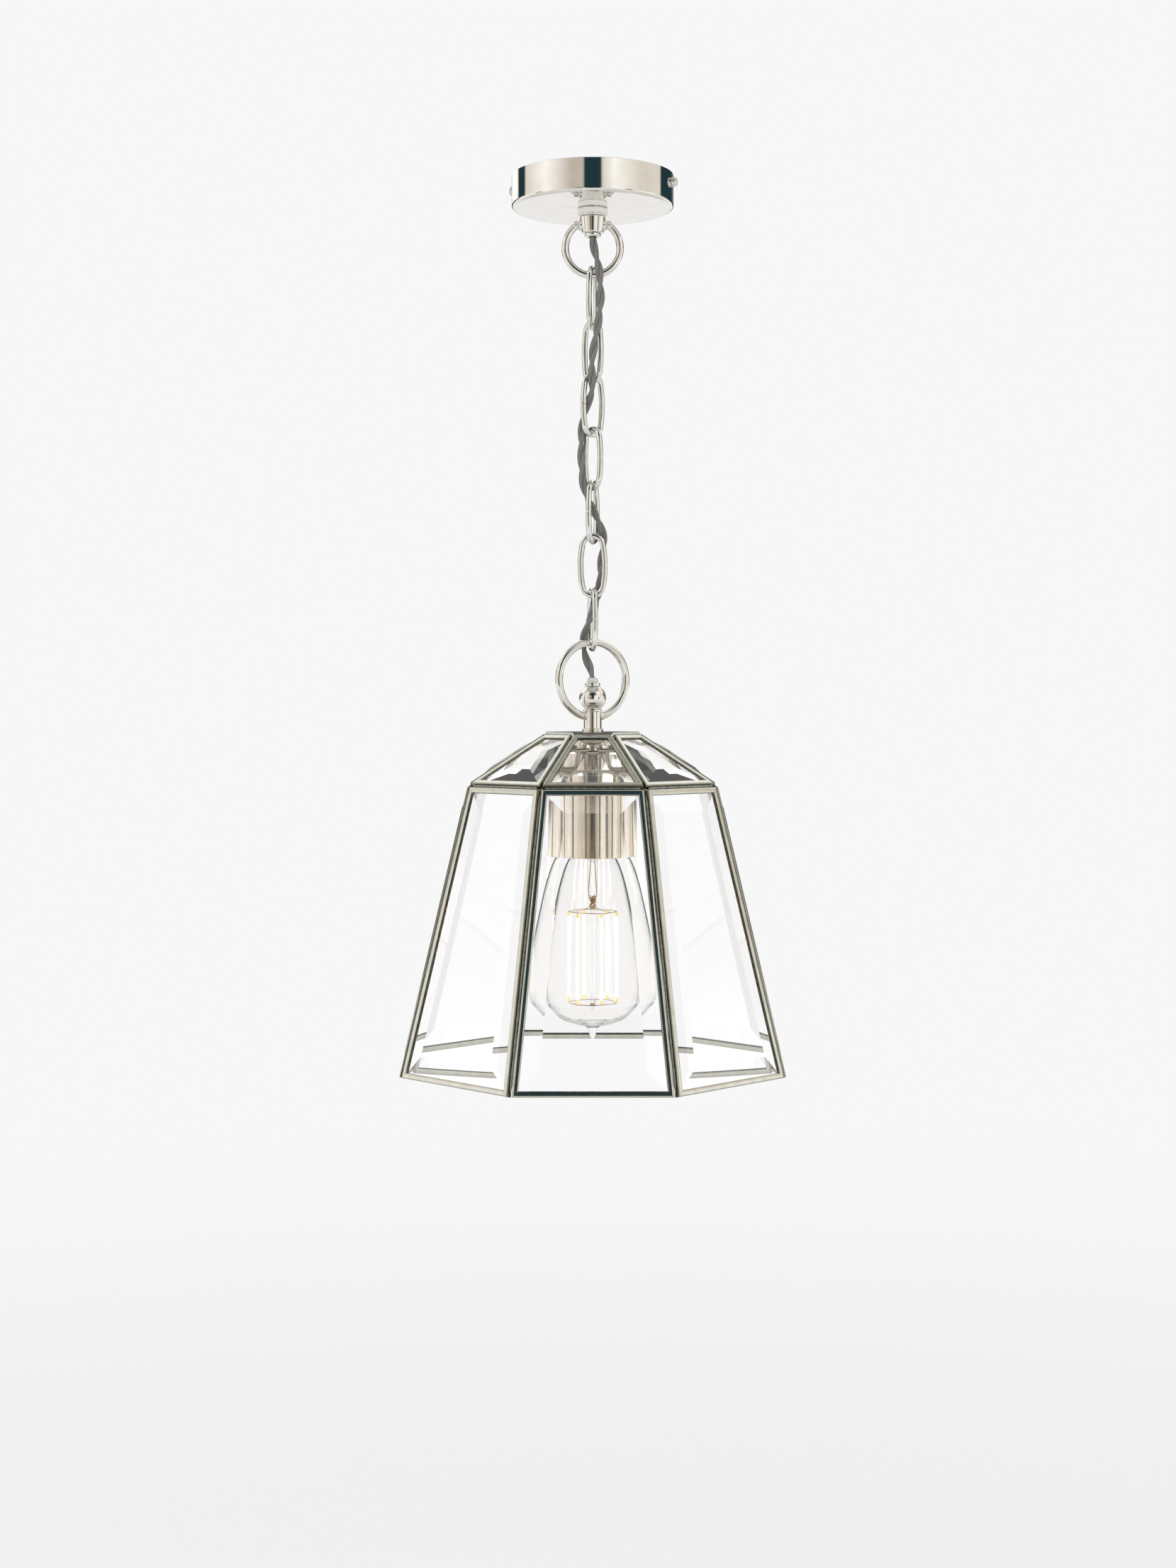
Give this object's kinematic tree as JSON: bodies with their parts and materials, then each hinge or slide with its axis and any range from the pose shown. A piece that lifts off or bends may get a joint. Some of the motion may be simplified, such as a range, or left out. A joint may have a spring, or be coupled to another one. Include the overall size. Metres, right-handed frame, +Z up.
{
  "type": "hanging lantern",
  "caption": "Octagonal bevelled-glass hanging lantern in soldered nickel cames, on a ring-and-link chain from a round ceiling rose, with a long-filament bulb.",
  "frame": {"origin": "middle of the rose's ceiling side, on the lantern's vertical axis, in the plane of the ceiling", "axes": "+Z up, into the ceiling; -Y is the front, towards the viewer, square to one face of the glass body; +X right"},
  "size_m": [0.25, 0.25, 0.5944],
  "materials": {
    "polished_nickel": "polished nickel",
    "antique_nickel": "antiqued nickel, satin",
    "solder": "dull solder",
    "bevelled_glass": "clear, polished",
    "bulb_glass": "clear, polished",
    "filament": "pale yellow coating",
    "filament_wire": "drawn wire",
    "bulb_cap": "bright nickelled",
    "insulator": "glossy",
    "brass": "plain",
    "holder_black": "moulded",
    "block_white": "moulded",
    "bush_clear": "translucent",
    "braid": "braided, twisted",
    "core_insulation": "smooth",
    "zinc": "plated"
  },
  "bodies": {
    "ceiling_rose": {"ceiling_bracket": "zinc", "canopy": "polished_nickel", "canopy_screws": "polished_nickel", "terminal_block": "block_white", "terminal_screws": "brass", "canopy_nipple": "brass", "nipple_nut": "zinc", "boss_flange": "polished_nickel", "boss_cup": "polished_nickel", "boss_bush": "brass", "rose_leads": "core_insulation", "flex": "braid"},
    "upper_ring": {"upper_ring": "polished_nickel"},
    "chain_link_1": {"chain_link_1": "polished_nickel"},
    "chain_link_2": {"chain_link_2": "polished_nickel"},
    "chain_link_3": {"chain_link_3": "polished_nickel"},
    "chain_link_4": {"chain_link_4": "polished_nickel"},
    "chain_link_5": {"chain_link_5": "polished_nickel"},
    "chain_link_6": {"chain_link_6": "polished_nickel"},
    "chain_link_7": {"chain_link_7": "polished_nickel"},
    "lower_ring": {"lower_ring": "polished_nickel"},
    "lantern": {"ring_collar": "polished_nickel", "ball_finial": "polished_nickel", "finial_cap": "polished_nickel", "cord_bush": "bush_clear", "collar_base": "polished_nickel", "lantern_nipple": "brass", "lantern_nut": "zinc", "top_plate": "antique_nickel", "holder_leads": "core_insulation", "holder_spacer": "zinc", "holder_cover": "antique_nickel", "lampholder_body": "holder_black", "screw_shell": "brass", "centre_contact": "brass", "roof_glass_1": "bevelled_glass", "roof_glass_2": "bevelled_glass", "roof_glass_3": "bevelled_glass", "roof_glass_4": "bevelled_glass", "roof_glass_5": "bevelled_glass", "roof_glass_6": "bevelled_glass", "roof_glass_7": "bevelled_glass", "roof_glass_8": "bevelled_glass", "side_glass_1": "bevelled_glass", "side_glass_2": "bevelled_glass", "side_glass_3": "bevelled_glass", "side_glass_4": "bevelled_glass", "side_glass_5": "bevelled_glass", "side_glass_6": "bevelled_glass", "side_glass_7": "bevelled_glass", "side_glass_8": "bevelled_glass", "roof_cames": "antique_nickel", "side_cames": "antique_nickel", "solder_seams": "solder"},
    "bulb": {"bulb_cap": "bulb_cap", "bulb_contact": "insulator", "bulb_glass": "bulb_glass", "bulb_stem": "bulb_glass", "bulb_filaments": "filament", "filament_supports": "filament_wire"}
  },
  "joints": [
    {"name": "upper_ring_swing", "type": "hinge", "parent": "ceiling_rose", "child": "upper_ring", "pos_m": [0, 0, -0.033], "axis": [1, 0, 0], "range_deg": [-25, 25], "deforming": ["flex"]},
    {"name": "link_1_swing", "type": "hinge", "parent": "upper_ring", "child": "chain_link_1", "pos_m": [0, 0, -0.0663], "axis": [-1, 0, 0], "range_deg": [-18, 18]},
    {"name": "link_2_swing", "type": "hinge", "parent": "chain_link_1", "child": "chain_link_2", "pos_m": [0, 0, -0.0994], "axis": [-0.309, -0.9511, 0], "range_deg": [-12, 12]},
    {"name": "link_3_swing", "type": "hinge", "parent": "chain_link_2", "child": "chain_link_3", "pos_m": [0, 0, -0.13515], "axis": [-0.6691, 0.7431, 0], "range_deg": [-18, 18]},
    {"name": "link_4_swing", "type": "hinge", "parent": "chain_link_3", "child": "chain_link_4", "pos_m": [0, 0, -0.1709], "axis": [0.766, 0.6428, 0], "range_deg": [-18, 18]},
    {"name": "link_5_swing", "type": "hinge", "parent": "chain_link_4", "child": "chain_link_5", "pos_m": [0, 0, -0.20665], "axis": [-0.6293, 0.7771, 0], "range_deg": [-11, 11]},
    {"name": "link_6_swing", "type": "hinge", "parent": "chain_link_5", "child": "chain_link_6", "pos_m": [0, 0, -0.2424], "axis": [-0.342, -0.9397, 0], "range_deg": [-18, 18]},
    {"name": "link_7_swing", "type": "hinge", "parent": "chain_link_6", "child": "chain_link_7", "pos_m": [0, 0, -0.27815], "axis": [-1, 0, 0], "range_deg": [-18, 18]},
    {"name": "lower_ring_swing", "type": "hinge", "parent": "chain_link_7", "child": "lower_ring", "pos_m": [0, 0, -0.3136], "axis": [0.2079, -0.9781, 0], "range_deg": [-18, 18]},
    {"name": "lantern_swing", "type": "hinge", "parent": "lower_ring", "child": "lantern", "pos_m": [0, 0, -0.36057], "axis": [0.8829, 0.4695, 0], "range_deg": [-25, 25]},
    {"name": "bulb_turn", "type": "hinge", "parent": "lantern", "child": "bulb", "pos_m": [0, 0, -0.44], "axis": [0, 0, 1], "range_deg": [0, 720]}
  ]
}
